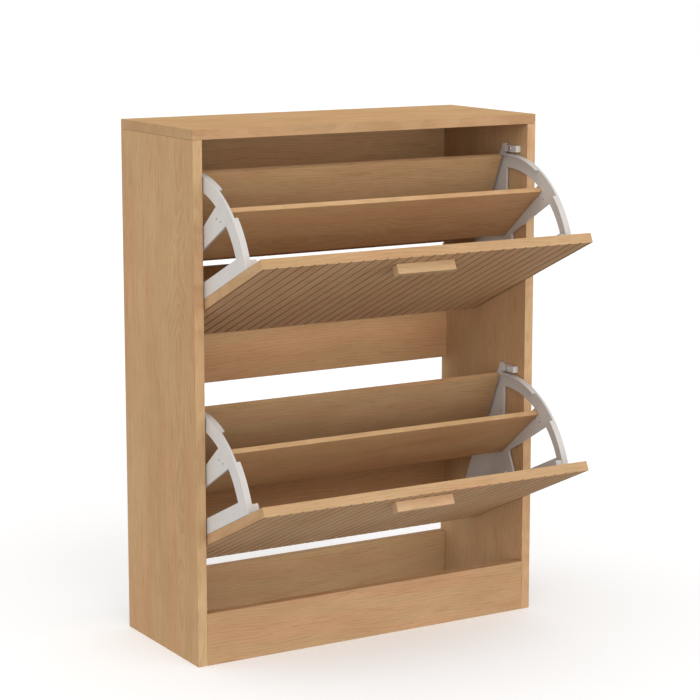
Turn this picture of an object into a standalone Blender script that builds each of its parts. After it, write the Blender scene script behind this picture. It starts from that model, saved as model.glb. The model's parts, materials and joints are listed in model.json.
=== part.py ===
"""Shoe cabinet with two tip-out units, one above the other, both standing open.

Each unit is a grooved front panel with a handle, two moulded side brackets, a divider
and a rear board. It turns about a pair of pins in the side panels, and the hook on each
bracket rests against a stop block when the unit is open. Metres, +Z up, the back at +Y.
The origin is the middle of the floor area that the cabinet covers with its units open.
"""

import math

import bmesh
import bpy
from mathutils import Matrix, Vector

# Carcass
WIDTH = 0.600
DEPTH = 0.240
HEIGHT = 0.800
BOARD = 0.015
PLINTH_HEIGHT = 0.080
LOWER_RAIL = (0.148, 0.332)
UPPER_RAIL = (0.3805, 0.5645)
BACK_LOW = 0.5725
BACK_THICKNESS = 0.003
REBATE_WIDTH = 0.006
GAP = 0.0003

# Tip-out units, measured from the pivot with the unit closed
PIVOT_BEHIND_FRONT = 0.0396
PIVOT_ABOVE_BAY = 0.131
OPEN_ANGLE = math.radians(65.4)
FLAP_TOP = 0.2195
FLAP_BOTTOM = -0.1265
FLAP_HALF_WIDTH = 0.283
GROOVE_PITCH = 0.020
GROOVE_WIDTH = 0.0034
GROOVE_DEPTH = 0.0013
GROOVES_EACH_SIDE = 13

HANDLE_LENGTH = 0.100
HANDLE_HEIGHT = 0.014
HANDLE_REACH = 0.016
HANDLE_BELOW_TOP = 0.0275

ARC_RADIUS = 0.1725
ARC_INNER_RADIUS = 0.150
ARC_FRONT_ANGLE = -8.1
ARC_HOOK_ANGLE = 69.6
FLANGE_FRONT_ANGLE = -7.1
FLANGE_HOOK_ANGLE = 69.3
NARROW_FROM_ANGLE = 18.4
NARROW_TO_ANGLE = 38.4
ARC_STEP = 3.5
CORNER_STEPS = 3
PLATE_THICKNESS = 0.004
FLANGE_WIDTH = 0.010
FLANGE_THICKNESS = 0.0025
FOOT_WIDTH = 0.021
FOOT_THICKNESS = 0.003
FOOT_TAB_REACH = 0.014
FOOT_TAB_THICKNESS = 0.005
FOOT_TOP = 0.1700
BRACKET_BOTTOM = -0.118
DIVIDER_RIB = (0.028, 0.120)
REAR_RIB = (-0.036, 0.0465)
BOSS_RADIUS = 0.012
FRONT_WINDOW_ANGLES = (-0.9, 19.5)
FRONT_WINDOW_REAR = (0.0385, 0.0240)
FRONT_WINDOW_LOW = (-0.0023, 0.0240)
REAR_WINDOW_ANGLES = (34.5, 68.6)
REAR_WINDOW_FLOOR = (0.1000, 0.0360)
REAR_WINDOW_LOW = (0.0561, 0.0165)
REAR_WINDOW_FRONT = (0.0700, 0.0680)
WINDOW_CORNER = 0.004
# The hook's corners, measured from the pivot with the unit open
HOOK = ((0.0127, 0.1875), (0.0204, 0.1870), (0.0224, 0.1785), (0.0290, 0.1691))
HOOK_LEG_TOP = 0.0528

INNER_BOARD = 0.008
DIVIDER_LEAN = math.radians(14.2)
DIVIDER_AT_PIVOT = 0.0394
DIVIDER_TOP = 0.131
DIVIDER_BOTTOM = 0.008
REAR_LEAN = math.radians(41.0)
REAR_AT_PIVOT = 0.1065
REAR_TOP = 0.0585
REAR_BOTTOM = -0.052
REAR_HALF_WIDTH = 0.2732
REAR_RIB_WIDTH = 0.022
RIB_THICKNESS = 0.004
LEG_BEHIND_REAR_FACE = 0.0155

PIN_RADIUS = 0.004
PIN_HEAD_RADIUS = 0.008
PIN_HEAD_HEIGHT = 0.002
PIN_HEAD_FLAT_RADIUS = 0.0068
PIN_HEAD_CHAMFER = 0.0008
PIN_DEPTH = 0.010
PIN_SIDES = 24

STOP_THICKNESS = 0.0087
STOP_LENGTH = 0.034
STOP_HEIGHT = 0.010
STOP_BEHIND_FRONT = 0.018
STOP_ABOVE_PIVOT = 0.1758

SCREW_HEAD_RADIUS = 0.0036
SCREW_HEAD_HEIGHT = 0.0022
SCREW_HEAD_FLAT_RADIUS = 0.00216
SCREW_HEAD_SHOULDER = 0.0011
SCREW_RADIUS = 0.0017
SCREW_POINT = 0.15
SCREW_SIDES = 10
SCREW_IN_BOARD = 0.010
REAR_SCREW_IN_BOARD = 0.0056
TIP_ROOM = 0.001
FLAP_SCREW_HEIGHTS = (("top", 0.155), ("bottom", -0.060))
REAR_SCREW_HEIGHT = -0.020
SCREW_FROM_EDGE = 0.006
HANDLE_SCREW_FROM_MIDDLE = 0.032
CAM_RADIUS = 0.0075
CAM_DEPTH = 0.011
CAM_FROM_END = 0.034
CAM_SIDES = 20
DOWEL_RADIUS = 0.004
DOWEL_LENGTH = 0.020
DOWEL_FROM_EDGE = 0.045
DOWEL_SIDES = 12
HOLE_CLEARANCE = 0.0003
SHARP_ANGLE = math.radians(30)

# Derived places
INNER_HALF = WIDTH / 2 - BOARD
BAY_HEIGHT = (HEIGHT - BOARD - PLINTH_HEIGHT) / 2
FLAP_FRONT = -PIVOT_BEHIND_FRONT
FLAP_BACK = FLAP_FRONT + BOARD
FOREMOST = PIVOT_BEHIND_FRONT + FLAP_FRONT * math.cos(OPEN_ANGLE) - FLAP_TOP * math.sin(OPEN_ANGLE)
FRONT_Y = -(DEPTH + FOREMOST) / 2
PLATE_OUTER = FLAP_HALF_WIDTH
PLATE_INNER = PLATE_OUTER - PLATE_THICKNESS
# Solids that a union joins reach this far into each other.
BITE = 0.002
INSET = 0.0003

# A flat outline is drawn in its own XY plane. This turns that plane upright: its X
# becomes the cabinet's Y, its Y becomes Z, and the direction of extrusion becomes X.
UPRIGHT = Matrix(((0, 0, 1), (1, 0, 0), (0, 1, 0))).to_4x4()

OAK = ("light_oak", (0.58, 0.37, 0.20), 0.5, 0.0)
OAK_PLINTH = ("light_oak_plinth", (0.60, 0.38, 0.20), 0.5, 0.0)
OAK_INSIDE = ("light_oak_inside", (0.50, 0.31, 0.17), 0.55, 0.0)
OAK_FLAP = ("grooved_oak", (0.55, 0.34, 0.19), 0.5, 0.0)
OAK_HANDLE = ("handle_oak", (0.62, 0.42, 0.24), 0.45, 0.0)
PLASTIC = ("grey_white_plastic", (0.62, 0.60, 0.57), 0.4, 0.0)
STOP_PLASTIC = ("stop_plastic", (0.52, 0.49, 0.46), 0.45, 0.0)
STEEL = ("zinc_steel", (0.60, 0.60, 0.62), 0.35, 1.0)
BEECH = ("beech_dowel", (0.60, 0.42, 0.26), 0.7, 0.0)


def clear_scene():
    for obj in list(bpy.data.objects):
        bpy.data.objects.remove(obj)


def collection(name):
    made = bpy.data.collections.new(name)
    bpy.context.scene.collection.children.link(made)
    return made


def place_in(obj, group):
    for owner in list(obj.users_collection):
        owner.objects.unlink(obj)
    group.objects.link(obj)


def finished(obj, name, look):
    """Names a part, files it with the others and gives it a material of its own."""
    label, colour, roughness, metallic = look
    obj.name = name
    place_in(obj, parts)
    material = bpy.data.materials.new(f"{label}_{name}")
    material.use_nodes = True
    shader = material.node_tree.nodes["Principled BSDF"]
    shader.inputs["Base Color"].default_value = (*colour, 1.0)
    shader.inputs["Roughness"].default_value = roughness
    shader.inputs["Metallic"].default_value = metallic
    obj.data.materials.clear()
    obj.data.materials.append(material)
    return obj


def helper(obj, name):
    """Files a cutter, or a shape that is joined to a part, out of sight."""
    obj.name = name
    place_in(obj, cutters)
    obj.hide_render = True
    obj.display_type = "WIRE"
    return obj


def block(low, high, parent=None):
    """A box between two corners."""
    low, high = Vector(low), Vector(high)
    bpy.ops.mesh.primitive_cube_add(size=1, location=(low + high) / 2)
    obj = bpy.context.active_object
    obj.scale = high - low
    bpy.ops.object.transform_apply(location=False, rotation=False, scale=True)
    obj.parent = parent
    return obj


def outline_solid(outlines, low, high, turn=UPRIGHT, parent=None):
    """Closed outlines, the first the outer edge and the rest holes, made solid from low to high."""
    curve = bpy.data.curves.new("outline", "CURVE")
    curve.dimensions = "2D"
    curve.fill_mode = "BOTH"
    curve.extrude = (high - low) / 2
    for outline in outlines:
        spline = curve.splines.new("POLY")
        spline.points.add(len(outline) - 1)
        for point, (u, v) in zip(spline.points, outline):
            point.co = (u, v, 0, 1)
        spline.use_cyclic_u = True
    drawn = bpy.data.objects.new("outline", curve)
    bpy.context.scene.collection.objects.link(drawn)
    drawn.matrix_world = turn @ Matrix.Translation((0, 0, (low + high) / 2))
    bpy.context.view_layer.update()
    graph = bpy.context.evaluated_depsgraph_get()
    mesh = bpy.data.meshes.new_from_object(drawn.evaluated_get(graph))
    weld(mesh)
    shade_round(mesh)
    obj = bpy.data.objects.new("outline_solid", mesh)
    bpy.context.scene.collection.objects.link(obj)
    obj.matrix_world = drawn.matrix_world
    bpy.data.objects.remove(drawn)
    obj.parent = parent
    return obj


def weld(mesh):
    shape = bmesh.new()
    shape.from_mesh(mesh)
    bmesh.ops.remove_doubles(shape, verts=shape.verts, dist=1e-6)
    bmesh.ops.recalc_face_normals(shape, faces=shape.faces)
    shape.to_mesh(mesh)
    shape.free()


def shade_round(mesh):
    """Smooth shading that stops at the real edges."""
    mesh.shade_smooth()
    mesh.set_sharp_from_angle(angle=SHARP_ANGLE)


def turned(profile, sides, place, direction, parent=None):
    """A shape turned about an axis through place: profile is (radius, height), top to bottom."""
    mesh = bpy.data.meshes.new("turned")
    edges = [(i, i + 1) for i in range(len(profile) - 1)]
    mesh.from_pydata([(radius, 0, height) for radius, height in profile], edges, [])
    obj = bpy.data.objects.new("turned", mesh)
    bpy.context.scene.collection.objects.link(obj)
    obj.location = place
    obj.rotation_mode = "QUATERNION"
    obj.rotation_quaternion = Vector((0, 0, 1)).rotation_difference(Vector(direction))
    obj.parent = parent
    spin = obj.modifiers.new("turn", "SCREW")
    spin.axis = "Z"
    spin.steps = sides
    spin.render_steps = sides
    spin.use_smooth_shade = True
    spin.use_merge_vertices = True
    spin.merge_threshold = 0.00005
    return obj


def rod(start, end, radius, sides, parent=None):
    """A plain cylinder between two points."""
    start, end = Vector(start), Vector(end)
    bpy.ops.mesh.primitive_cylinder_add(vertices=sides, radius=radius, depth=(end - start).length)
    obj = bpy.context.active_object
    shade_round(obj.data)
    obj.location = (start + end) / 2
    obj.rotation_mode = "QUATERNION"
    obj.rotation_quaternion = Vector((0, 0, 1)).rotation_difference(end - start)
    obj.parent = parent
    return obj


def boolean(obj, other, operation):
    modifier = obj.modifiers.new(f"{operation.lower()} {other.name}", "BOOLEAN")
    modifier.operation = operation
    modifier.object = other


def drill(obj, start, end, radius, sides, parent=None):
    hole = helper(rod(start, end, radius, sides, parent), f"hole_in_{obj.name}")
    boolean(obj, hole, "DIFFERENCE")


def join(obj, other):
    boolean(obj, helper(other, f"joined_to_{obj.name}"), "UNION")


def polar(radius, degrees):
    """A point on a circle about the pivot, the angle counted backwards from straight up."""
    angle = math.radians(degrees)
    return (radius * math.sin(angle), radius * math.cos(angle))


def arc(radius, start, end):
    steps = max(1, round(abs(end - start) / ARC_STEP))
    return [polar(radius, start + (end - start) * i / steps) for i in range(steps + 1)]


def rounded_corner(before, corner, after, radius):
    """The arc that replaces one corner of an outline, running from one neighbour to the next."""
    here = Vector(corner)
    back = (Vector(before) - here).normalized()
    ahead = (Vector(after) - here).normalized()
    half = back.angle(ahead) / 2
    centre = here + (back + ahead).normalized() * radius / math.sin(half)
    start = here + back * radius / math.tan(half) - centre
    end = here + ahead * radius / math.tan(half) - centre
    sweep = start.angle_signed(end)
    turns = [Matrix.Rotation(-sweep * step / CORNER_STEPS, 2) for step in range(CORNER_STEPS + 1)]
    return [tuple(centre + turn @ start) for turn in turns]


def on_board(at_pivot, lean, height, behind=0.0):
    """A point at a height on a leaning board's front face, or that far behind the face."""
    y = at_pivot + height * math.tan(lean) + behind * math.cos(lean)
    return (y, height - behind * math.sin(lean))


def board_strip(at_pivot, lean, top, bottom, near, far):
    """The side outline of a strip that lies between two depths behind a board's front face."""
    return [
        on_board(at_pivot, lean, top, near),
        on_board(at_pivot, lean, top, far),
        on_board(at_pivot, lean, bottom, far),
        on_board(at_pivot, lean, bottom, near),
    ]


def closed(y, z):
    """Turns an open unit's point about the pivot back to where it is in the closed unit."""
    cosine, sine = math.cos(OPEN_ANGLE), math.sin(OPEN_ANGLE)
    return (y * cosine + z * sine, -y * sine + z * cosine)


def make_carcass():
    front, back = FRONT_Y, FRONT_Y + DEPTH
    rebate_front = back - BACK_THICKNESS - GAP
    under_top = HEIGHT - BOARD
    half = WIDTH / 2
    top = finished(block((-half, front, under_top), (half, back, HEIGHT)), "top_panel", OAK)
    rebate_reach = INNER_HALF + REBATE_WIDTH
    rebate = block(
        (-rebate_reach, rebate_front, under_top - BITE),
        (rebate_reach, back + BITE, under_top + REBATE_WIDTH),
    )
    boolean(top, helper(rebate, "top_rebate"), "DIFFERENCE")

    sides = {}
    for side, name in ((-1, "left"), (1, "right")):
        across = sorted((side * INNER_HALF, side * half))
        panel = block((across[0], front, 0), (across[1], back, under_top - GAP))
        sides[side] = finished(panel, f"side_panel_{name}", OAK)
        cut = sorted((side * (INNER_HALF - BITE), side * rebate_reach))
        groove = block((cut[0], rebate_front, BACK_LOW - BITE), (cut[1], back + BITE, under_top + BITE))
        boolean(sides[side], helper(groove, f"side_rebate_{name}"), "DIFFERENCE")
        for place, along in (("front", DOWEL_FROM_EDGE), ("rear", DEPTH - DOWEL_FROM_EDGE)):
            make_dowel(top, sides[side], side, f"dowel_{name}_{place}", front + along)

    reach = INNER_HALF - GAP
    finished(block((-reach, front, 0), (reach, front + BOARD, PLINTH_HEIGHT)), "plinth_front", OAK_PLINTH)
    for name, low, high in (
        ("plinth_back", 0, PLINTH_HEIGHT),
        ("back_rail_lower", *LOWER_RAIL),
        ("back_rail_upper", *UPPER_RAIL),
    ):
        rail = finished(block((-reach, back - BOARD, low), (reach, back, high)), name, OAK_INSIDE)
        make_cams(rail, name, back, (low + high) / 2, -1)
    make_cams(bpy.data.objects["plinth_front"], "plinth_front", front + BOARD, PLINTH_HEIGHT / 2, -1)
    finished(
        block(
            (GAP - rebate_reach, back - BACK_THICKNESS, BACK_LOW),
            (rebate_reach - GAP, back, under_top + REBATE_WIDTH - GAP),
        ),
        "back_panel",
        OAK_INSIDE,
    )
    return sides


def make_dowel(top, panel, side, name, y):
    """A dowel that stands half in the side panel's top edge and half in the top panel."""
    x = side * (WIDTH - BOARD) / 2
    joint = HEIGHT - BOARD
    low, high = joint - DOWEL_LENGTH / 2, joint + DOWEL_LENGTH / 2
    finished(rod((x, y, low), (x, y, high), DOWEL_RADIUS, DOWEL_SIDES), name, BEECH)
    bore = DOWEL_RADIUS + HOLE_CLEARANCE
    drill(top, (x, y, joint - BITE), (x, y, high + GAP), bore, DOWEL_SIDES)
    drill(panel, (x, y, low - GAP), (x, y, joint + BITE), bore, DOWEL_SIDES)


def make_cams(board, name, face, z, inward):
    """The two round cam locks sunk in a rail's face, one near each end."""
    for side, end in ((-1, "left"), (1, "right")):
        x = side * (INNER_HALF - CAM_FROM_END)
        drill(
            board,
            (x, face - inward * BITE, z),
            (x, face + inward * (CAM_DEPTH + GAP), z),
            CAM_RADIUS + HOLE_CLEARANCE,
            CAM_SIDES,
        )
        cam = rod((x, face, z), (x, face + inward * CAM_DEPTH, z), CAM_RADIUS, CAM_SIDES)
        finished(cam, f"cam_{name}_{end}", STEEL)


def screw(name, place, direction, length, parent=None):
    """A pan-head screw whose head bears on place and whose shaft runs against direction."""
    profile = (
        (0, SCREW_HEAD_HEIGHT),
        (SCREW_HEAD_FLAT_RADIUS, SCREW_HEAD_HEIGHT),
        (SCREW_HEAD_RADIUS, SCREW_HEAD_SHOULDER),
        (SCREW_HEAD_RADIUS, GAP),
        (SCREW_RADIUS, GAP),
        (SCREW_RADIUS, (SCREW_POINT - 1) * length),
        (0, -length),
    )
    return finished(turned(profile, SCREW_SIDES, place, direction, parent), name, STEEL)


def drill_for_screw(obj, place, direction, near, far, parent=None):
    """The hole that a screw at place needs in a board between two depths below its head."""
    start = Vector(place) - Vector(direction) * near
    end = Vector(place) - Vector(direction) * far
    drill(obj, start, end, SCREW_RADIUS + HOLE_CLEARANCE, SCREW_SIDES, parent)


def flap_outline():
    """The front panel's section seen from above, with the V grooves along its front."""
    points = [(-FLAP_HALF_WIDTH, FLAP_BACK), (-FLAP_HALF_WIDTH, FLAP_FRONT)]
    for index in range(-GROOVES_EACH_SIDE, GROOVES_EACH_SIDE + 1):
        x = index * GROOVE_PITCH
        points.append((x - GROOVE_WIDTH / 2, FLAP_FRONT))
        points.append((x, FLAP_FRONT + GROOVE_DEPTH))
        points.append((x + GROOVE_WIDTH / 2, FLAP_FRONT))
    return points + [(FLAP_HALF_WIDTH, FLAP_FRONT), (FLAP_HALF_WIDTH, FLAP_BACK)]


def make_flap(unit, pivot):
    flap = outline_solid([flap_outline()], FLAP_BOTTOM, FLAP_TOP, Matrix.Identity(4), pivot)
    finished(flap, f"{unit}_flap_front", OAK_FLAP)
    handle_top = FLAP_TOP - HANDLE_BELOW_TOP
    handle_back = FLAP_FRONT - GAP
    handle = block(
        (-HANDLE_LENGTH / 2, FLAP_FRONT - HANDLE_REACH, handle_top - HANDLE_HEIGHT),
        (HANDLE_LENGTH / 2, handle_back, handle_top),
        pivot,
    )
    finished(handle, f"{unit}_handle", OAK_HANDLE)
    for side, name in ((-1, "left"), (1, "right")):
        place = (side * HANDLE_SCREW_FROM_MIDDLE, FLAP_BACK, handle_top - HANDLE_HEIGHT / 2)
        screw(f"{unit}_handle_screw_{name}", place, (0, 1, 0), BOARD + SCREW_IN_BOARD, pivot)
        drill_for_screw(flap, place, (0, 1, 0), -BITE, BOARD + BITE, pivot)
        drill_for_screw(handle, place, (0, 1, 0), BOARD - BITE, BOARD + SCREW_IN_BOARD + TIP_ROOM, pivot)
    return flap


def bracket_outline():
    """The bracket's outer edge seen from the side."""
    front = FLAP_BACK + GAP
    hook = [closed(y, z) for y, z in HOOK]
    leg_top = on_board(REAR_AT_PIVOT, REAR_LEAN, HOOK_LEG_TOP, LEG_BEHIND_REAR_FACE)
    leg_bottom = (
        REAR_AT_PIVOT + BRACKET_BOTTOM * math.tan(REAR_LEAN) + LEG_BEHIND_REAR_FACE / math.cos(REAR_LEAN),
        BRACKET_BOTTOM,
    )
    rise = arc(ARC_RADIUS, ARC_FRONT_ANGLE, ARC_HOOK_ANGLE)
    return [(front, BRACKET_BOTTOM)] + rise + hook + [leg_top, leg_bottom]


def front_window():
    """The opening between the flap, the arc and the leg that carries the divider."""
    top = arc(ARC_INNER_RADIUS, *FRONT_WINDOW_ANGLES)
    rear = rounded_corner(top[-1], FRONT_WINDOW_REAR, FRONT_WINDOW_LOW, WINDOW_CORNER)
    return top + rear + rounded_corner(FRONT_WINDOW_REAR, FRONT_WINDOW_LOW, top[0], WINDOW_CORNER)


def rear_window():
    """The opening between the divider's leg, the arc and the leg that carries the rear board."""
    top = arc(ARC_INNER_RADIUS, *REAR_WINDOW_ANGLES)
    corner = rounded_corner(REAR_WINDOW_FLOOR, REAR_WINDOW_LOW, REAR_WINDOW_FRONT, WINDOW_CORNER)
    return top + [REAR_WINDOW_FLOOR] + corner + [REAR_WINDOW_FRONT]


def arc_flange(start, end):
    outer = arc(ARC_RADIUS - INSET, start, end)
    inner = arc(ARC_RADIUS - INSET - FLANGE_THICKNESS, end, start)
    return outer + inner


def make_bracket(unit, side, name, flap, pivot):
    def shape(outlines, inner, outer):
        across = sorted((side * inner, side * outer))
        return outline_solid(outlines, across[0], across[1], UPRIGHT, pivot)

    plate = shape([bracket_outline(), front_window(), rear_window()], PLATE_INNER, PLATE_OUTER)
    bracket = finished(plate, f"{unit}_bracket_{name}", PLASTIC)
    flange_inner = PLATE_OUTER - FLANGE_WIDTH
    bite = PLATE_INNER + BITE
    for start, end in ((FLANGE_FRONT_ANGLE, NARROW_FROM_ANGLE), (NARROW_TO_ANGLE, FLANGE_HOOK_ANGLE)):
        join(bracket, shape([arc_flange(start, end)], flange_inner, bite))
    foot_front = FLAP_BACK + GAP + INSET
    foot_back = foot_front + FOOT_THICKNESS
    tab_back = foot_front + FOOT_TAB_REACH
    tab_low = FOOT_TOP - FOOT_TAB_THICKNESS
    foot = [
        (foot_front, BRACKET_BOTTOM + INSET),
        (foot_front, FOOT_TOP),
        (tab_back, FOOT_TOP),
        (tab_back, tab_low),
        (foot_back, tab_low),
        (foot_back, BRACKET_BOTTOM + INSET),
    ]
    join(bracket, shape([foot], PLATE_OUTER - FOOT_WIDTH, bite))
    behind = INNER_BOARD + GAP
    low, high = DIVIDER_RIB
    divider_rib = board_strip(DIVIDER_AT_PIVOT, DIVIDER_LEAN, high, low, behind, behind + RIB_THICKNESS)
    join(bracket, shape([divider_rib], flange_inner, bite))
    low, high = REAR_RIB
    rear_rib = board_strip(REAR_AT_PIVOT, REAR_LEAN, high, low, behind, behind + RIB_THICKNESS)
    join(bracket, shape([rear_rib], PLATE_OUTER - REAR_RIB_WIDTH, bite))
    boss = rod((side * flange_inner, 0, 0), (side * bite, 0, 0), BOSS_RADIUS, PIN_SIDES, pivot)
    join(bracket, boss)
    drill(
        bracket,
        (side * (flange_inner - BITE), 0, 0),
        (side * (PLATE_OUTER + BITE), 0, 0),
        PIN_RADIUS + HOLE_CLEARANCE,
        PIN_SIDES,
        pivot,
    )
    screw_from_middle = PLATE_OUTER - FOOT_WIDTH + SCREW_FROM_EDGE
    reach = FOOT_THICKNESS + SCREW_IN_BOARD
    for place_name, height in FLAP_SCREW_HEIGHTS:
        place = (side * screw_from_middle, foot_back, height)
        screw(f"{unit}_flap_screw_{name}_{place_name}", place, (0, 1, 0), reach, pivot)
        drill_for_screw(bracket, place, (0, 1, 0), -BITE, FOOT_THICKNESS + GAP, pivot)
        drill_for_screw(flap, place, (0, 1, 0), FOOT_THICKNESS, reach + TIP_ROOM, pivot)
    return bracket


def make_boards(unit, pivot, brackets):
    half = PLATE_INNER - GAP
    divider = outline_solid(
        [board_strip(DIVIDER_AT_PIVOT, DIVIDER_LEAN, DIVIDER_TOP, DIVIDER_BOTTOM, 0, INNER_BOARD)],
        -half,
        half,
        UPRIGHT,
        pivot,
    )
    finished(divider, f"{unit}_divider", OAK_INSIDE)
    rear = outline_solid(
        [board_strip(REAR_AT_PIVOT, REAR_LEAN, REAR_TOP, REAR_BOTTOM, 0, INNER_BOARD)],
        -REAR_HALF_WIDTH,
        REAR_HALF_WIDTH,
        UPRIGHT,
        pivot,
    )
    finished(rear, f"{unit}_rear_board", OAK_INSIDE)
    backwards = (0, math.cos(REAR_LEAN), -math.sin(REAR_LEAN))
    behind = INNER_BOARD + GAP + RIB_THICKNESS
    y, z = on_board(REAR_AT_PIVOT, REAR_LEAN, REAR_SCREW_HEIGHT, behind)
    length = RIB_THICKNESS + GAP + REAR_SCREW_IN_BOARD
    for side, name in ((-1, "left"), (1, "right")):
        place = (side * (PLATE_OUTER - REAR_RIB_WIDTH + SCREW_FROM_EDGE), y, z)
        screw(f"{unit}_rear_board_screw_{name}", place, backwards, length, pivot)
        drill_for_screw(brackets[side], place, backwards, -BITE, RIB_THICKNESS + GAP, pivot)
        drill_for_screw(rear, place, backwards, RIB_THICKNESS, length + TIP_ROOM, pivot)


def make_pin(unit, side, name, panel, y, z):
    """The pin that a bracket turns on, its head inside and its end in the side panel."""
    head_top = PLATE_OUTER - FLANGE_WIDTH - GAP - PIN_HEAD_HEIGHT
    end = INNER_HALF + PIN_DEPTH
    profile = (
        (0, 0),
        (PIN_HEAD_FLAT_RADIUS, 0),
        (PIN_HEAD_RADIUS, -PIN_HEAD_CHAMFER),
        (PIN_HEAD_RADIUS, -PIN_HEAD_HEIGHT),
        (PIN_RADIUS, -PIN_HEAD_HEIGHT),
        (PIN_RADIUS, head_top - end),
        (0, head_top - end),
    )
    pin = turned(profile, PIN_SIDES, (side * head_top, y, z), (-side, 0, 0))
    finished(pin, f"{unit}_pivot_pin_{name}", STEEL)
    drill(
        panel,
        (side * (INNER_HALF - BITE), y, z),
        (side * (end + GAP), y, z),
        PIN_RADIUS + HOLE_CLEARANCE,
        PIN_SIDES,
    )


def make_stop(unit, side, name, panel, pivot_z):
    """The block that the bracket's hook rests against when the unit is open."""
    outer = INNER_HALF - GAP
    inner = outer - STOP_THICKNESS
    low = (min(side * inner, side * outer), FRONT_Y + STOP_BEHIND_FRONT, pivot_z + STOP_ABOVE_PIVOT)
    size = (STOP_THICKNESS, STOP_LENGTH, STOP_HEIGHT)
    stop = finished(
        block(low, [a + b for a, b in zip(low, size)]), f"{unit}_stop_block_{name}", STOP_PLASTIC
    )
    place = (side * inner, low[1] + STOP_LENGTH / 2, low[2] + STOP_HEIGHT / 2)
    direction = (-side, 0, 0)
    screw(f"{unit}_stop_screw_{name}", place, direction, STOP_THICKNESS + SCREW_IN_BOARD)
    drill_for_screw(stop, place, direction, -BITE, STOP_THICKNESS + BITE)
    drill_for_screw(panel, place, direction, STOP_THICKNESS - BITE, STOP_THICKNESS + SCREW_IN_BOARD + TIP_ROOM)


def make_unit(unit, bay_low, sides):
    pivot_y, pivot_z = FRONT_Y + PIVOT_BEHIND_FRONT, bay_low + PIVOT_ABOVE_BAY
    pivot = bpy.data.objects.new(f"{unit}_unit_pivot", None)
    parts.objects.link(pivot)
    pivot.location = (0, pivot_y, pivot_z)
    pivot.rotation_euler = (OPEN_ANGLE, 0, 0)
    bpy.context.view_layer.update()
    flap = make_flap(unit, pivot)
    brackets = {}
    for side, name in ((-1, "left"), (1, "right")):
        brackets[side] = make_bracket(unit, side, name, flap, pivot)
        make_pin(unit, side, name, sides[side], pivot_y, pivot_z)
        make_stop(unit, side, name, sides[side], pivot_z)
    make_boards(unit, pivot, brackets)


clear_scene()
parts = collection("shoe_cabinet")
cutters = collection("shoe_cabinet_cutters")
side_panels = make_carcass()
make_unit("lower", PLINTH_HEIGHT, side_panels)
make_unit("upper", PLINTH_HEIGHT + BAY_HEIGHT, side_panels)
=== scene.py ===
import json
import math

import bmesh
import bpy
from mathutils import Matrix, Vector


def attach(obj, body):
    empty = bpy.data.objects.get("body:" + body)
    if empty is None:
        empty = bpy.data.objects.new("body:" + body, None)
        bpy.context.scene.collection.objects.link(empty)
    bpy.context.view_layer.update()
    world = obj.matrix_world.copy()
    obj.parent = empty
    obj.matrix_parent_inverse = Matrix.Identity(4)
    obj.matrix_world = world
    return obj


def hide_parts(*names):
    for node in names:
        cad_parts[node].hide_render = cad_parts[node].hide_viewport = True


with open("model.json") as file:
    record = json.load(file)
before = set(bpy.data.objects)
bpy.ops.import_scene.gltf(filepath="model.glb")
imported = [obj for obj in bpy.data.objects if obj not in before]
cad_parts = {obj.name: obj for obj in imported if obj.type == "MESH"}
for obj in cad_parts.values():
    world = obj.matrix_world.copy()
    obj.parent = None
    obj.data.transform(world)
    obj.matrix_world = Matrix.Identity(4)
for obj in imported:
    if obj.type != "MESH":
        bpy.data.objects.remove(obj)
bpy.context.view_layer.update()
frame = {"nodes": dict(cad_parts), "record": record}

NODES = frame["nodes"]
BEHAVIOUR = frame["record"]["behaviour"]
BODY_OF = {node: body for body, nodes in BEHAVIOUR["bodies"].items() for node in nodes}

X, Y, Z = (1, 0, 0), (0, 1, 0), (0, 0, 1)

# The cabinet's own measures, in metres. Leans are those of the closed units.
OPEN_ANGLE = math.radians(BEHAVIOUR["joints"][0]["range_deg"][1])
DIVIDER_LEAN = math.radians(14.2)
REAR_LEAN = math.radians(41.0)
GROOVE_PITCH = 0.020
GROOVE_HALF_WIDTH = 0.0017
PLATE_OUTER = 0.283
PLATE_THICKNESS = 0.004

# How far edges are rounded
BOARD_EDGE = 0.0008
FLAP_EDGE = 0.0003
BRACKET_EDGE = 0.0005
STOP_EDGE = 0.0008
PIN_EDGE = 0.0002
DOWEL_EDGE = 0.0005
HARDWARE_EDGE = 0.00008
WELD_DISTANCE = 0.00001
FLAT_WITHIN = math.radians(0.5)
ROUND_ABOVE = math.radians(30)
HARDWARE_ROUND_ABOVE = math.radians(40)
HARDWARE_SHARP_ABOVE = math.radians(35)

# Screws, cam locks and rivets. A cross is (half length, half width, depth); a share is of the
# piece's own height or length.
SCREW_HEAD_RADIUS = 0.0036
SCREW_HEAD_HEIGHT = 0.0019
SCREW_DOME_SHARE = 0.62
SCREW_DOME_STEPS = 6
SCREW_RADIUS = 0.0017
SCREW_SHANK_SHARE = 0.88
SCREW_CROSS = (0.0019, 0.00045, 0.0013)
SCREW_SIDES = 32
CAM_RADIUS = 0.0075
CAM_FACE_RADIUS = 0.00645
CAM_GROOVE_RADII = (0.00675, 0.007275)
CAM_GROOVE_DEPTH = 0.0004
CAM_RIM_DEPTH = 0.0008
CAM_CROSS = (0.0040, 0.0009, 0.0028)
CAM_SIDES = 48
CROSS_WIDE_END = 1.15
CROSS_NARROW_END = 0.80
RIVETS = ((0.0687, 0.1179), (0.0605, 0.1285))
RIVET_RADIUS = 0.0014
RIVET_RISE = 0.0003
RIVET_DOME = ((0.6, 0.2), (0.9, 0.6), (1, 1))
RIVET_SIDES = 20

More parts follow.
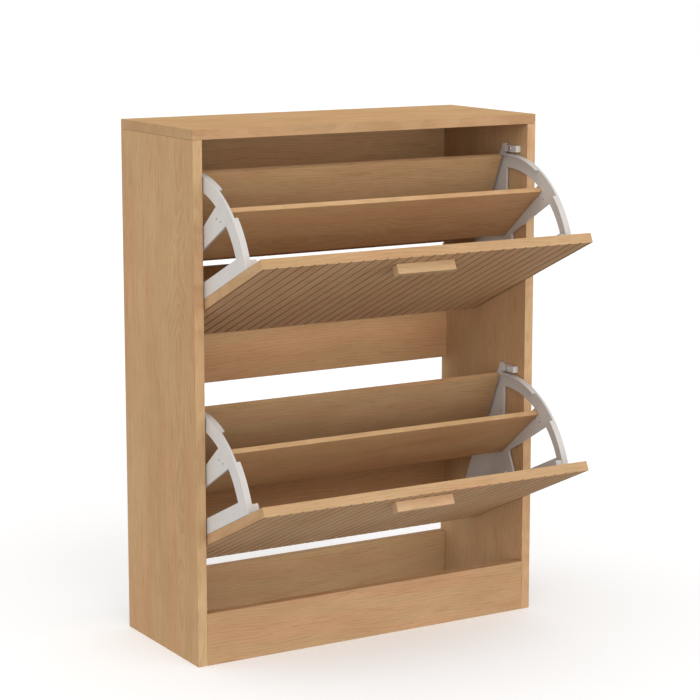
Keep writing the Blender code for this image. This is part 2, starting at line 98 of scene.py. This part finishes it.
# Oak: its colours, and its noise fields as (stretch along the grain, start, scale, detail, roughness)
LIGHT = (0.545, 0.353, 0.186)
DARK = (0.430, 0.262, 0.125)
PORE = (0.260, 0.138, 0.058)
BEECH = (0.60, 0.42, 0.25)
OAK_FIELDS = {
    "bend": (0.9, (0, 0, 0), 4.0, 1.0, 0.5),
    "bands": (0.35, (0, 0, 0), 26.0, 2.0, 0.55),
    "broad": (0.20, (3.1, 0, 0), 9.0, 1.0, 0.5),
    "wobble": (0.25, (0, 5.3, 0), 30.0, 2.0, 0.5),
    "streaks": (0.022, (0, 0, 0), 330.0, 3.0, 0.6),
    "fibres": (0.020, (1.3, 0, 0), 1250.0, 2.0, 0.6),
    "pores": (0.050, (9.1, 0, 0), 900.0, 1.0, 0.4),
    "flecks": (0.12, (2.9, 0, 0), 150.0, 2.0, 0.5),
    "dashes": (0.055, (4.3, 0, 0), 520.0, 1.0, 0.5),
    "warmth": (0.10, (5.9, 0, 0), 34.0, 1.0, 0.5),
}
# What each field adds to the dark tone, or to the flecks: from this value, to this value, up to
# this much
TONE = {
    "bands": (0.32, 0.68, 0.40),
    "late": (0.0, 1.0, 0.30),
    "streaks": (0.30, 0.70, 0.26),
    "broad": (0.35, 0.65, 0.26),
    "fibres": (0.30, 0.70, 0.08),
}
FLECK = {"flecks": (0.58, 0.74, 0.34), "dashes": (0.62, 0.72, 0.42)}
TONE_FLOOR = 0.10
GRAIN_BEND = 0.030
RINGS_PER_METRE = 210.0
RING_WOBBLE = 2.6
RING_DARKENS = (0.10, 0.86)
RING_LIGHTENS = (0.90, 1.0)
HEART_DRIFT = 0.16
HEART_DRIFT_START = (7.7, 0, 0)
HEART_DRIFT_SCALE = 2.2
HEART_DEPTH = -0.045
PORE_THRESHOLD = 0.655
PORE_MORE_IN_LATE = -0.030
PORE_RAMP = 0.035
PORE_STRENGTH = 0.22
FLECK_TINT = (0.80, 0.76, 0.72, 1)
ROSY_TINT = (1.02, 0.955, 0.97, 1)
ROSY_BETWEEN = (0.42, 0.60)
STREAK_HEIGHT = 0.35
FIBRE_HEIGHT = 0.25
OAK_ROUGHNESS = 0.58
ROUGHER_WHEN_DARK = 0.08
ROUGHER_IN_PORES = 0.14
OAK_SPECULAR = 0.06
FIGURE_STEP = (1.37, 0.0, 0.61)

# Which way a face of a board looks, from the size of its normal's part along the board or through
# it, and the painted shade in the grooves, whose fade is in shares of their half width
EDGE_BELOW = 0.45
END_ABOVE = 0.6
FRONT_BELOW = -0.3
GROOVE_FADE = (0.3, 1.4)
GROOVE_PAINTED_SHADE = -0.60

# Plastic and steel, and each material's relief as (strength, distance)
PLASTIC_MOTTLE = (35.0, 3.0)
PLASTIC_DARKEST = 0.93
PLASTIC_GRIT = 2600.0
PLASTIC_ROUGHER = (-0.05, 0.08)
PLASTIC_SPECULAR = 0.4
STEEL_PATCHES = (420.0, 3.0)
STEEL_DARKEST = 0.78
STEEL_SCRATCHES = 900.0
STEEL_ROUGHNESS = (0.22, 0.42)
OAK_RELIEF = (0.2, 0.0004)
PLASTIC_RELIEF = (0.16, 0.0001)
STEEL_RELIEF = (0.1, 0.0001)

PLAIN = (1.0, 1.0, 1.0)
BAND = (1.02, 1.04, 1.08)

# The viewpoint
CAMERA_PLACE = (-1.7432, -2.8926, 1.0595)
CAMERA_YAW = math.radians(30.80)
CAMERA_PITCH = math.radians(9.73)
CAMERA_LENS = 115.04
CAMERA_SENSOR = 36
CAMERA_SHIFT = -0.03

# The studio: what each direction sends, between which heights of a direction the sides give way to
# the zenith and to the ground, and the floor with its own glow that keeps it white
LIGHT_FRONT = 2.6
LIGHT_LEFT = 1.6
LIGHT_RIGHT = 0.6
LIGHT_BACK = 0.55
LIGHT_ZENITH = 0.85
LIGHT_GROUND = 0.45
TO_ZENITH = (0.25, 0.95)
TO_GROUND = (-0.08, -0.45)
FLOOR_REACH = 14
FLOOR_COLOUR = (0.90, 0.90, 0.90, 1)
FLOOR_GLOW = 0.16


# ---------------------------------------------------------------- node helpers
def node(tree, kind, settings=None, **inputs):
    """A shader node. Inputs are given by name, or by number as i0, i1 and so on."""
    made = tree.nodes.new(kind)
    for name, value in (settings or {}).items():
        setattr(made, name, value)
    for name, value in inputs.items():
        key = int(name[1:]) if name[0] == "i" and name[1:].isdigit() else name.replace("_", " ")
        socket = made.inputs[key]
        if isinstance(value, bpy.types.NodeSocket):
            tree.links.new(value, socket)
        else:
            socket.default_value = value
    return made


def maths(tree, operation, a, b=0.0, c=0.0, clamp=False):
    settings = {"operation": operation, "use_clamp": clamp}
    return node(tree, "ShaderNodeMath", settings, i0=a, i1=b, i2=c).outputs[0]


def mix_colour(tree, factor, a, b, blend="MIX"):
    settings = {"data_type": "RGBA", "blend_type": blend, "clamp_factor": True}
    return node(tree, "ShaderNodeMix", settings, i0=factor, i6=a, i7=b).outputs[2]


def mix_vector(tree, factor, a, b):
    return node(tree, "ShaderNodeMix", {"data_type": "VECTOR"}, i0=factor, i4=a, i5=b).outputs[1]


def noise(tree, vector, scale, detail=2.0, roughness=0.5):
    inputs = {"Vector": vector, "Scale": scale, "Detail": detail, "Roughness": roughness}
    return node(tree, "ShaderNodeTexNoise", {"noise_dimensions": "3D"}, **inputs).outputs[0]


def stretched(tree, vector, scale, offset=(0, 0, 0)):
    inputs = {"Vector": vector, "Scale": scale, "Location": offset}
    return node(tree, "ShaderNodeMapping", {"vector_type": "POINT"}, **inputs).outputs[0]


def remap(tree, value, low, high, to_low=0.0, to_high=1.0, smooth=False):
    settings = {"interpolation_type": "SMOOTHSTEP" if smooth else "LINEAR", "clamp": True}
    inputs = {"i0": value, "i1": low, "i2": high, "i3": to_low, "i4": to_high}
    return node(tree, "ShaderNodeMapRange", settings, **inputs).outputs[0]


def separated(tree, vector):
    return node(tree, "ShaderNodeSeparateXYZ", None, Vector=vector).outputs


def combined(tree, **parts):
    return node(tree, "ShaderNodeCombineXYZ", None, **parts).outputs[0]


def object_place(tree):
    return tree.nodes.new("ShaderNodeTexCoord").outputs["Object"]


def scaled(colour, *factors):
    """A colour with each channel multiplied, by one factor or by one for each channel."""
    return tuple(v * f for v, f in zip(colour, factors if len(factors) == 3 else factors * 3))


def new_material(name):
    material = bpy.data.materials.new(name)
    material.use_nodes = True
    tree = material.node_tree
    return material, tree, tree.nodes["Principled BSDF"]


def add_relief(tree, shader, height, strength, distance):
    relief = node(tree, "ShaderNodeBump", None, Strength=strength, Distance=distance, Height=height)
    tree.links.new(relief.outputs[0], shader.inputs["Normal"])


# ---------------------------------------------------------------- oak laminate
def oak_interface(tree):
    interface = tree.interface
    interface.new_socket("Board", in_out="INPUT", socket_type="NodeSocketVector")
    interface.new_socket("Heart", in_out="INPUT", socket_type="NodeSocketFloat")
    for name in ("Light", "Dark", "Pore"):
        interface.new_socket(name, in_out="INPUT", socket_type="NodeSocketColor")
    interface.new_socket("Color", in_out="OUTPUT", socket_type="NodeSocketColor")
    interface.new_socket("Height", in_out="OUTPUT", socket_type="NodeSocketFloat")
    interface.new_socket("Roughness", in_out="OUTPUT", socket_type="NodeSocketFloat")
    return tree.nodes.new("NodeGroupInput").outputs, tree.nodes.new("NodeGroupOutput").inputs


def oak_field(tree, name, place):
    stretch, start, scale, detail, roughness = OAK_FIELDS[name]
    return noise(tree, stretched(tree, place, (stretch, 1, 1), start), scale, detail, roughness)


def late_wood(tree, board, followed, heart):
    """Growth rings about a heart line that lies under the face and drifts along the board."""
    drift = noise(tree, stretched(tree, board, X, HEART_DRIFT_START), HEART_DRIFT_SCALE)
    depth = maths(tree, "MULTIPLY_ADD", drift, HEART_DRIFT, HEART_DEPTH)
    across = maths(tree, "SUBTRACT", separated(tree, followed)[1], heart)
    squares = [maths(tree, "MULTIPLY", value, value) for value in (across, depth)]
    radius = maths(tree, "SQRT", maths(tree, "ADD", *squares))
    wobble = maths(tree, "MULTIPLY", oak_field(tree, "wobble", followed), RING_WOBBLE)
    ring = maths(tree, "FRACT", maths(tree, "MULTIPLY_ADD", radius, RINGS_PER_METRE, wobble))
    rise = remap(tree, ring, *RING_DARKENS, 0.0, 1.0, True)
    fall = remap(tree, ring, *RING_LIGHTENS, 1.0, 0.0, True)
    return maths(tree, "MULTIPLY", rise, fall)


def summed(tree, values, weights):
    """The sum of values, each turned from its own range into its own weight."""
    total = None
    for name, (low, high, weight) in weights.items():
        part = maths(tree, "MULTIPLY", remap(tree, values[name], low, high), weight)
        total = part if total is None else maths(tree, "ADD", total, part)
    return total


def oak_group():
    """Oak figure from board coordinates in metres: X along the grain, Y across, Z through."""
    tree = bpy.data.node_groups.new("oak_figure", "ShaderNodeTree")
    source, sink = oak_interface(tree)
    board = source["Board"]

    # Every field but the rings' heart follows the slow bends of the grain
    bend = maths(tree, "MULTIPLY_ADD", oak_field(tree, "bend", board), GRAIN_BEND, -GRAIN_BEND / 2)
    shifts = {"operation": "ADD"}
    followed = node(tree, "ShaderNodeVectorMath", shifts, i0=board, i1=combined(tree, Y=bend)).outputs[0]
    names = ("bands", "broad", "streaks", "fibres", "pores", "flecks", "dashes", "warmth")
    values = {name: oak_field(tree, name, followed) for name in names}
    values["late"] = late_wood(tree, board, followed, source["Heart"])
    threshold = maths(tree, "MULTIPLY_ADD", values["late"], PORE_MORE_IN_LATE, PORE_THRESHOLD)
    pores = remap(tree, maths(tree, "SUBTRACT", values["pores"], threshold), 0.0, PORE_RAMP)

    tone = maths(tree, "SUBTRACT", summed(tree, values, TONE), TONE_FLOOR, clamp=True)
    colour = mix_colour(tree, tone, source["Light"], source["Dark"])
    deep = mix_colour(tree, 1.0, source["Dark"], FLECK_TINT, "MULTIPLY")
    colour = mix_colour(tree, summed(tree, values, FLECK), colour, deep)
    # Some bands lean towards pink, the others towards yellow
    rosy = mix_colour(tree, 1.0, colour, ROSY_TINT, "MULTIPLY")
    warmth = remap(tree, values["warmth"], *ROSY_BETWEEN, 0.0, 1.0, True)
    colour = mix_colour(tree, warmth, colour, rosy)
    colour = mix_colour(tree, maths(tree, "MULTIPLY", pores, PORE_STRENGTH), colour, source["Pore"])
    tree.links.new(colour, sink["Color"])

    height = maths(tree, "MULTIPLY", values["streaks"], STREAK_HEIGHT)
    height = maths(tree, "SUBTRACT", height, pores)
    height = maths(tree, "MULTIPLY_ADD", values["fibres"], FIBRE_HEIGHT, height)
    tree.links.new(height, sink["Height"])
    rough = maths(tree, "MULTIPLY_ADD", tone, ROUGHER_WHEN_DARK, OAK_ROUGHNESS)
    tree.links.new(maths(tree, "MULTIPLY_ADD", pores, ROUGHER_IN_PORES, rough), sink["Roughness"])
    return tree


def open_direction(y, z):
    """A direction in a closed unit, as it points once the unit is open."""
    cosine, sine = math.cos(OPEN_ANGLE), math.sin(OPEN_ANGLE)
    return Vector((0, y * cosine - z * sine, y * sine + z * cosine))


def board_axes(grain, across):
    grain, across = Vector(grain).normalized(), Vector(across).normalized()
    return Matrix((grain, across, grain.cross(across)))


def board_coordinates(tree, axes, offset):
    """Places and normals as the board has them: along the grain, across it and through."""
    coordinates = tree.nodes.new("ShaderNodeTexCoord").outputs
    settings, turn = {"vector_type": "POINT"}, axes.to_euler("XYZ")
    place, normal = coordinates["Object"], coordinates["Normal"]
    along = node(tree, "ShaderNodeMapping", settings, Vector=place, Rotation=turn, Location=offset)
    facing = node(tree, "ShaderNodeMapping", settings, Vector=normal, Rotation=turn)
    return along.outputs[0], separated(tree, facing.outputs[0])


def groove_painted_shade(tree, normal):
    """1 on open faces and less down in the front panel's V grooves: painted shade in the grooves."""
    across = separated(tree, object_place(tree))[0]
    turns = maths(tree, "MULTIPLY", across, 1 / GROOVE_PITCH)
    from_middle = maths(tree, "SUBTRACT", turns, maths(tree, "ROUND", turns))
    distance = maths(tree, "MULTIPLY", maths(tree, "ABSOLUTE", from_middle), GROOVE_PITCH)
    deep = remap(tree, distance, *[GROOVE_HALF_WIDTH * share for share in GROOVE_FADE], 1.0, 0.0)
    at_front = maths(tree, "LESS_THAN", normal[2], FRONT_BELOW)
    in_groove = maths(tree, "MULTIPLY", deep, at_front)
    return maths(tree, "MULTIPLY_ADD", in_groove, GROOVE_PAINTED_SHADE, 1.0)


def turned_on_ends(tree, along, normal):
    """Board coordinates whose end faces carry a band with its grain along them, not out of them."""
    parts = separated(tree, along)
    turned = combined(tree, X=parts[1], Y=parts[2], Z=parts[0])
    on_end = maths(tree, "GREATER_THAN", maths(tree, "ABSOLUTE", normal[0]), END_ABOVE)
    return mix_vector(tree, on_end, along, turned)


def oak_material(name, axes, offset, heart, tints, edge_tint=PLAIN, turn_ends=False, grooved=False):
    """Oak laminate. Faces across the board's thickness are edge bands, with a tint of their own."""
    material, tree, shader = new_material(name)
    along, normal = board_coordinates(tree, axes, offset)
    if turn_ends:
        along = turned_on_ends(tree, along, normal)
    figure = node(tree, "ShaderNodeGroup", {"node_tree": OAK}, Board=along)
    figure.inputs["Heart"].default_value = heart
    for socket, tint in zip(("Light", "Dark", "Pore"), tints):
        figure.inputs[socket].default_value = (*tint, 1)
    on_edge = maths(tree, "LESS_THAN", maths(tree, "ABSOLUTE", normal[2]), EDGE_BELOW)
    banded = mix_colour(tree, 1.0, figure.outputs["Color"], (*edge_tint, 1), "MULTIPLY")
    colour = mix_colour(tree, on_edge, figure.outputs["Color"], banded)
    # Grooved flaps get painted shade down in their V grooves
    if grooved:
        shade = groove_painted_shade(tree, normal)
        grey = node(tree, "ShaderNodeCombineColor", None, i0=shade, i1=shade, i2=shade).outputs[0]
        colour = mix_colour(tree, 1.0, colour, grey, "MULTIPLY")
    tree.links.new(colour, shader.inputs["Base Color"])
    tree.links.new(figure.outputs["Roughness"], shader.inputs["Roughness"])
    shader.inputs["Specular IOR Level"].default_value = OAK_SPECULAR
    add_relief(tree, shader, figure.outputs["Height"], *OAK_RELIEF)
    return material


# ---------------------------------------------------------------- other materials
def plastic_material(name, colour, roughness):
    """Moulded plastic: a fine spark-eroded texture, a little flow mottling."""
    material, tree, shader = new_material(name)
    place = object_place(tree)
    mottle = remap(tree, noise(tree, place, *PLASTIC_MOTTLE), 0.3, 0.7)
    tint = mix_colour(tree, mottle, (*colour, 1), (*scaled(colour, PLASTIC_DARKEST), 1))
    tree.links.new(tint, shader.inputs["Base Color"])
    texture = noise(tree, place, PLASTIC_GRIT, 2.0, 0.6)
    rough = remap(tree, texture, 0.2, 0.8, *[roughness + more for more in PLASTIC_ROUGHER])
    tree.links.new(rough, shader.inputs["Roughness"])
    add_relief(tree, shader, texture, *PLASTIC_RELIEF)
    shader.inputs["Specular IOR Level"].default_value = PLASTIC_SPECULAR
    return material


def steel_material(name, colour):
    """Zinc-plated steel: faint crystalline patches and fine scratches."""
    material, tree, shader = new_material(name)
    place = object_place(tree)
    patches = noise(tree, place, *STEEL_PATCHES)
    tint = mix_colour(tree, patches, (*colour, 1), (*scaled(colour, STEEL_DARKEST), 1))
    tree.links.new(tint, shader.inputs["Base Color"])
    scratches = noise(tree, stretched(tree, place, (1, 12, 1)), STEEL_SCRATCHES)
    rough = remap(tree, scratches, 0.3, 0.7, *STEEL_ROUGHNESS)
    tree.links.new(rough, shader.inputs["Roughness"])
    add_relief(tree, shader, scratches, *STEEL_RELIEF)
    shader.inputs["Metallic"].default_value = 1.0
    return material


# ---------------------------------------------------------------- carried-over nodes
def dress(name, material, edge):
    """Gives a carried-over node its material, joins its triangles and rounds its edges."""
    obj = NODES[name]
    obj.data.materials.clear()
    obj.data.materials.append(material)
    if "custom_normal" in obj.data.attributes:
        obj.data.attributes.remove(obj.data.attributes["custom_normal"])
    obj.data.polygons.foreach_set("use_smooth", [True] * len(obj.data.polygons))
    weld = obj.modifiers.new("weld", "WELD")
    weld.merge_threshold = WELD_DISTANCE
    flat = obj.modifiers.new("flat_faces", "DECIMATE")
    flat.decimate_type = "DISSOLVE"
    flat.angle_limit = FLAT_WITHIN
    rounding = obj.modifiers.new("rounded_edges", "BEVEL")
    rounding.width = edge
    rounding.segments = 2
    rounding.limit_method = "ANGLE"
    rounding.angle_limit = ROUND_ABOVE
    shading = obj.modifiers.new("shading", "WEIGHTED_NORMAL")
    shading.keep_sharp = True


def board_table():
    """For each board: its grain, the direction across it, its heart line, face and edge tints."""
    # Face tints were fitted to measured brightness board by board, so besides each board's own tone they
    # carry painted light and shade
    boards = {
        "top_panel": (X, Y, 0.35, (1.18, 1.15, 1.02), (0.90, 0.90, 0.93)),
        "side_panel_left": (Z, Y, 0.02, (0.96, 0.96, 0.96), BAND),
        "side_panel_right": (Z, Y, -0.05, (1.03, 1.05, 1.08), BAND),
        "plinth_front": (X, Z, 0.30, (0.90, 0.88, 0.90), PLAIN),
        "plinth_back": (X, Z, -0.30, PLAIN, PLAIN),
        "back_rail_upper": (X, Z, 0.25, (1.03, 0.97, 0.94), PLAIN),
        "back_rail_lower": (X, Z, 0.10, (1.03, 0.97, 0.94), PLAIN),
        # The back panel's face tint lightens it: painted light in its shaded recess
        "back_panel": (X, Z, 0.65, (1.36, 1.36, 1.37), PLAIN),
    }
    up_flap = open_direction(0, 1)
    up_divider = open_direction(math.sin(DIVIDER_LEAN), math.cos(DIVIDER_LEAN))
    up_rear = open_direction(math.sin(REAR_LEAN), math.cos(REAR_LEAN))
    # The rear boards' face tints darken them: painted shade, deeper in the lower unit
    for unit, rear_painted_shade in (("upper", 0.88), ("lower", 0.77)):
        boards[f"{unit}_divider"] = (X, up_divider, 0.40, (0.95, 0.95, 0.95), PLAIN)
        boards[f"{unit}_rear_board"] = (X, up_rear, -0.30, (rear_painted_shade,) * 3, PLAIN)
        # The flap fronts' face tint lightens them: painted light on the faces that look down once open
        boards[f"{unit}_flap_front"] = (up_flap, X, 0.07, (1.12, 1.13, 1.22), (0.97, 0.97, 1.01))
        boards[f"{unit}_handle"] = (X, up_flap, 0.20, (1.15, 1.17, 1.28), (1.12, 1.18, 1.30))
    return boards


def dress_boards():
    for index, (name, board) in enumerate(sorted(board_table().items())):
        grain, across, heart, tint, edge_tint = board
        flap = name.endswith("flap_front")
        material = oak_material(
            f"oak_{name}",
            board_axes(grain, across),
            [index * step for step in FIGURE_STEP],
            heart,
            [scaled(colour, *tint) for colour in (LIGHT, DARK, PORE)],
            [edge / face for edge, face in zip(edge_tint, tint)],
            turn_ends=flap or name.startswith("side_panel"),
            grooved=flap,
        )
        dress(name, material, FLAP_EDGE if flap else BOARD_EDGE)


def dress_fittings():
    plastic = plastic_material("bracket_plastic_moulded", (0.575, 0.545, 0.515), 0.42)
    stop_plastic = plastic_material("stop_plastic_moulded", (0.60, 0.57, 0.54), 0.45)
    tints = (BEECH, scaled(BEECH, 0.8), PORE)
    beech = oak_material("beech", board_axes(Z, Y), (4.0, 0.0, 2.0), 0.0, tints)
    for name in NODES:
        if "bracket" in name:
            dress(name, plastic, BRACKET_EDGE)
        elif "stop_block" in name:
            dress(name, stop_plastic, STOP_EDGE)
        elif "pivot_pin" in name:
            dress(name, steel, PIN_EDGE)
        elif name.startswith("dowel"):
            dress(name, beech, DOWEL_EDGE)


# ---------------------------------------------------------------- screws, cam locks, rivets
def mesh_object(name, shape):
    mesh = bpy.data.meshes.new(name)
    shape.to_mesh(mesh)
    shape.free()
    obj = bpy.data.objects.new(name, mesh)
    bpy.context.scene.collection.objects.link(obj)
    return obj


def lathe(name, profile, sides):
    """A turned piece about Z from a profile of (radius, height), top to bottom."""
    shape = bmesh.new()
    points = [shape.verts.new((radius, 0, height)) for radius, height in profile]
    geometry = points + [shape.edges.new(pair) for pair in zip(points, points[1:])]
    turn = {"cent": (0, 0, 0), "axis": Z, "angle": math.tau, "steps": sides, "use_merge": True}
    bmesh.ops.spin(shape, geom=geometry, **turn)
    bmesh.ops.remove_doubles(shape, verts=shape.verts, dist=1e-6)
    bmesh.ops.recalc_face_normals(shape, faces=shape.faces)
    return mesh_object(name, shape)


def cross_cutter(half_length, half_width, depth):
    """A plus-shaped punch that narrows towards its tip, as a cross-head driver does."""
    shape = bmesh.new()
    corner = ((half_length, half_width), (half_width, half_width), (half_width, half_length))
    outline = []
    for quarter in range(4):
        turn = Matrix.Rotation(quarter * math.pi / 2, 2)
        outline += [turn @ Vector(point) for point in corner]
    rims = []
    for height, size in ((depth, CROSS_WIDE_END), (-depth, CROSS_NARROW_END)):
        rims.append([shape.verts.new((size * u, size * v, height)) for u, v in outline])
        shape.faces.new(rims[-1])
    for index in range(len(outline)):
        after = (index + 1) % len(outline)
        shape.faces.new((rims[0][index], rims[0][after], rims[1][after], rims[1][index]))
    bmesh.ops.recalc_face_normals(shape, faces=shape.faces)
    return mesh_object("punch", shape)


def punched(obj, punch):
    """The piece with the punch's shape taken out of it, and its sharp edges broken."""
    cut = obj.modifiers.new("punch", "BOOLEAN")
    cut.operation = "DIFFERENCE"
    cut.object = punch
    broken = obj.modifiers.new("broken_edges", "BEVEL")
    broken.width = HARDWARE_EDGE
    broken.segments = 1
    broken.limit_method = "ANGLE"
    broken.angle_limit = HARDWARE_ROUND_ABOVE
    graph = bpy.context.evaluated_depsgraph_get()
    mesh = bpy.data.meshes.new_from_object(obj.evaluated_get(graph))
    obj.modifiers.clear()
    obj.data = mesh
    bpy.data.objects.remove(punch)
    mesh.shade_smooth()
    mesh.set_sharp_from_angle(angle=HARDWARE_SHARP_ABOVE)
    return obj


def stand(obj, place, direction):
    """Puts a turned piece with its top at a place and its axis along a direction."""
    turn = Vector(Z).rotation_difference(direction).to_matrix().to_4x4()
    obj.matrix_world = Matrix.Translation(place) @ turn


def seat_of(name, direction):
    """Where a CAD fastener's outer end lies on its axis, and how long it is."""
    points = [vertex.co for vertex in NODES[name].data.vertices]
    side = direction.orthogonal().normalized()
    other = direction.cross(side)

    def span(axis):
        reaches = [axis.dot(point) for point in points]
        return min(reaches), max(reaches)

    low, high = span(direction)
    middle = sum((axis * sum(span(axis)) / 2 for axis in (side, other)), Vector())
    return middle + direction * high, high - low


def fit_in_place_of(piece, name, direction):
    place, _ = seat_of(name, direction)
    stand(piece, place, direction)
    piece.data.materials.append(steel)
    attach(piece, BODY_OF[name])
    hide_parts(name)


def cross_head_screw(name, direction):
    """A pan-head screw: domed head with a cross recess, plain shank and a cone point."""
    _, length = seat_of(name, direction)
    quarter = [math.pi / 2 * step / SCREW_DOME_STEPS for step in range(SCREW_DOME_STEPS + 1)]
    drop = -SCREW_HEAD_HEIGHT * SCREW_DOME_SHARE
    profile = [(SCREW_HEAD_RADIUS * math.sin(a), drop * (1 - math.cos(a))) for a in quarter]
    profile += [
        (SCREW_HEAD_RADIUS, -SCREW_HEAD_HEIGHT),
        (SCREW_RADIUS, -SCREW_HEAD_HEIGHT),
        (SCREW_RADIUS, -length * SCREW_SHANK_SHARE),
        (0, -length),
    ]
    blank = lathe(f"cross_head_{name}", profile, SCREW_SIDES)
    fit_in_place_of(punched(blank, cross_cutter(*SCREW_CROSS)), name, direction)


def slotted_cam(name, direction):
    """A cam lock's outer end: a disc with a ring groove and a cross slot."""
    _, depth = seat_of(name, direction)
    profile = [(0, 0), (CAM_FACE_RADIUS, 0)]
    profile += [(radius, -CAM_GROOVE_DEPTH) for radius in CAM_GROOVE_RADII]
    profile += [(CAM_RADIUS, -CAM_RIM_DEPTH), (CAM_RADIUS, -depth), (0, -depth)]
    blank = lathe(f"slotted_{name}", profile, CAM_SIDES)
    fit_in_place_of(punched(blank, cross_cutter(*CAM_CROSS)), name, direction)


def bracket_rivets(unit, pivot, side, name, plastic):
    """The two small dark rivets that show on both faces of a bracket's plate."""
    length = PLATE_THICKNESS + 2 * RIVET_RISE
    end = [(0, 0)] + [(RIVET_RADIUS * out, -RIVET_RISE * down) for out, down in RIVET_DOME]
    profile = end + [(radius, -length - height) for radius, height in reversed(end)]
    outwards = Vector((side, 0, 0))
    for index, (y, z) in enumerate(RIVETS):
        rivet = lathe(f"{unit}_rivet_{name}_{index + 1}", profile, RIVET_SIDES)
        rivet.data.shade_smooth()
        stand(rivet, pivot + open_direction(y, z) + outwards * (PLATE_OUTER + RIVET_RISE), outwards)
        rivet.data.materials.append(plastic)
        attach(rivet, f"{unit}_unit")


def fit_hardware():
    backwards = open_direction(1, 0)
    rear_backwards = open_direction(math.cos(REAR_LEAN), -math.sin(REAR_LEAN))
    for name in sorted(NODES):
        if name.startswith("cam_"):
            slotted_cam(name, Vector(Y))
        elif "stop_screw" in name:
            cross_head_screw(name, Vector(X) * (1 if name.endswith("left") else -1))
        elif "rear_board_screw" in name:
            cross_head_screw(name, rear_backwards)
        elif "screw" in name:
            cross_head_screw(name, backwards)
    plastic = plastic_material("rivet_dark_plastic", (0.16, 0.14, 0.13), 0.5)
    for joint in BEHAVIOUR["joints"]:
        unit, pivot = joint["child"].removesuffix("_unit"), Vector(joint["pos_m"])
        for side, side_name in ((-1, "left"), (1, "right")):
            bracket_rivets(unit, pivot, side, side_name, plastic)


# ---------------------------------------------------------------- floor, light, camera
def floor():
    """A wide white floor, which takes the object's shade but throws no light back up at it."""
    shape = bmesh.new()
    bmesh.ops.create_grid(shape, x_segments=1, y_segments=1, size=FLOOR_REACH)
    obj = mesh_object("studio_floor", shape)
    material, _, shader = new_material("studio_floor")
    shader.inputs["Base Color"].default_value = FLOOR_COLOUR
    shader.inputs["Roughness"].default_value = 0.9
    shader.inputs["Specular IOR Level"].default_value = 0.0
    shader.inputs["Emission Color"].default_value = (1, 1, 1, 1)
    shader.inputs["Emission Strength"].default_value = FLOOR_GLOW
    obj.data.materials.append(material)
    obj.visible_diffuse = False
    obj.visible_glossy = False


def studio_world():
    """A white backdrop, and soft light that is strongest from the front and the left."""
    world = bpy.data.worlds.new("studio")
    world.use_nodes = True
    tree = world.node_tree
    x, y, z = separated(tree, tree.nodes.new("ShaderNodeTexCoord").outputs["Generated"])

    def share(axis, sign, light):
        """What one side sends: its light times the square of how far the direction points there."""
        reach = maths(tree, "MAXIMUM", maths(tree, "MULTIPLY", axis, sign), 0.0)
        return maths(tree, "MULTIPLY", maths(tree, "MULTIPLY", reach, reach), light)

    def blend(factor, a, b):
        return node(tree, "ShaderNodeMix", {"data_type": "FLOAT"}, i0=factor, i2=a, i3=b).outputs[0]

    around = maths(tree, "ADD", share(y, -1.0, LIGHT_FRONT), share(y, 1.0, LIGHT_BACK))
    around = maths(tree, "ADD", around, share(x, -1.0, LIGHT_LEFT))
    around = maths(tree, "ADD", around, share(x, 1.0, LIGHT_RIGHT))
    # The squares of x and y add up to this, and it is kept just above 0 straight up and down
    level = maths(tree, "SUBTRACT", 1.001, maths(tree, "MULTIPLY", z, z))
    around = maths(tree, "DIVIDE", around, level)
    rising = remap(tree, z, *TO_ZENITH, 0.0, 1.0, True)
    falling = remap(tree, z, *TO_GROUND, 0.0, 1.0, True)
    light = blend(falling, blend(rising, around, LIGHT_ZENITH), LIGHT_GROUND)
    seen = tree.nodes.new("ShaderNodeLightPath").outputs["Is Camera Ray"]
    background = tree.nodes["Background"]
    background.inputs["Color"].default_value = (1, 1, 1, 1)
    tree.links.new(blend(seen, light, 1.0), background.inputs["Strength"])
    bpy.context.scene.world = world


def camera():
    data = bpy.data.cameras.new("camera")
    data.lens = CAMERA_LENS
    data.sensor_width = CAMERA_SENSOR
    data.shift_y = CAMERA_SHIFT
    obj = bpy.data.objects.new("camera", data)
    obj.location = CAMERA_PLACE
    obj.rotation_euler = (math.pi / 2 - CAMERA_PITCH, 0, -CAMERA_YAW)
    bpy.context.scene.collection.objects.link(obj)
    bpy.context.scene.camera = obj


OAK = oak_group()
steel = steel_material("zinc_plated_steel", (0.66, 0.66, 0.68))
dress_boards()
dress_fittings()
fit_hardware()
floor()
studio_world()
camera()
bpy.context.scene.view_settings.view_transform = "Standard"
